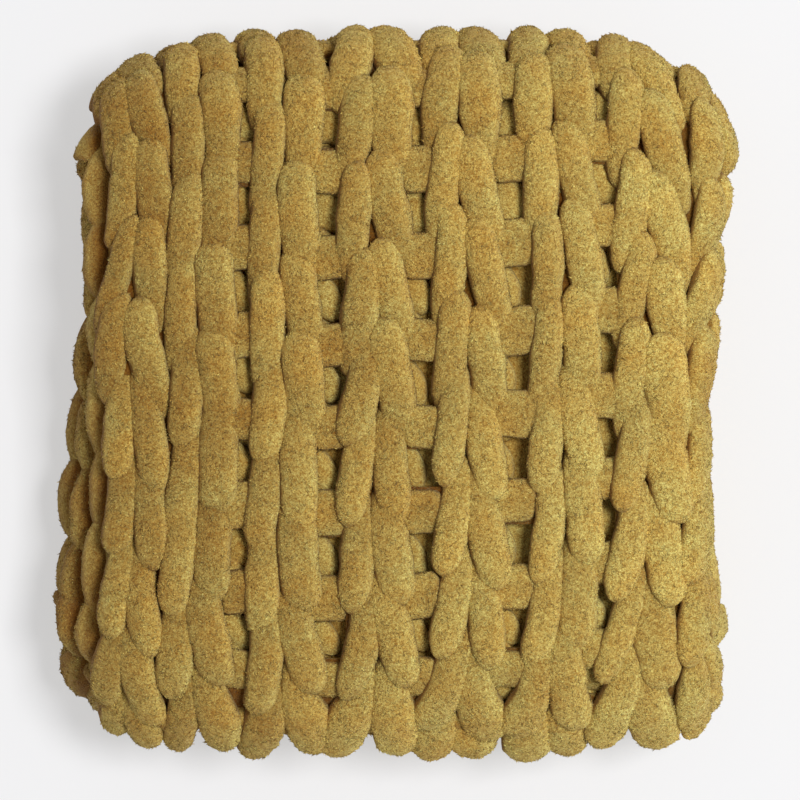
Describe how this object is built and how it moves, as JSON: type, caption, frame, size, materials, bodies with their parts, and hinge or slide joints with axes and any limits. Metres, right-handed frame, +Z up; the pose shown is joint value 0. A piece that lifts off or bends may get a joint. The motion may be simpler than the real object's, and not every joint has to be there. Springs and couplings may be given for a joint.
{
  "type": "folded chunky knit throw",
  "caption": "Chunky chenille knit throw with laddered open stitches, folded in half and then back and forth into a soft square pile.",
  "frame": {"origin": "middle of the pile's outline on the surface that it lies on", "axes": "+Z up, +X to the side where the cloth is folded in half, -Y to the front, where the top layer turns down"},
  "size_m": [0.4076, 0.4298, 0.1456],
  "materials": {
    "chenille": "deep matt pile, mustard gold"
  },
  "bodies": {
    "root": {"throw": "chenille"}
  },
  "joints": []
}
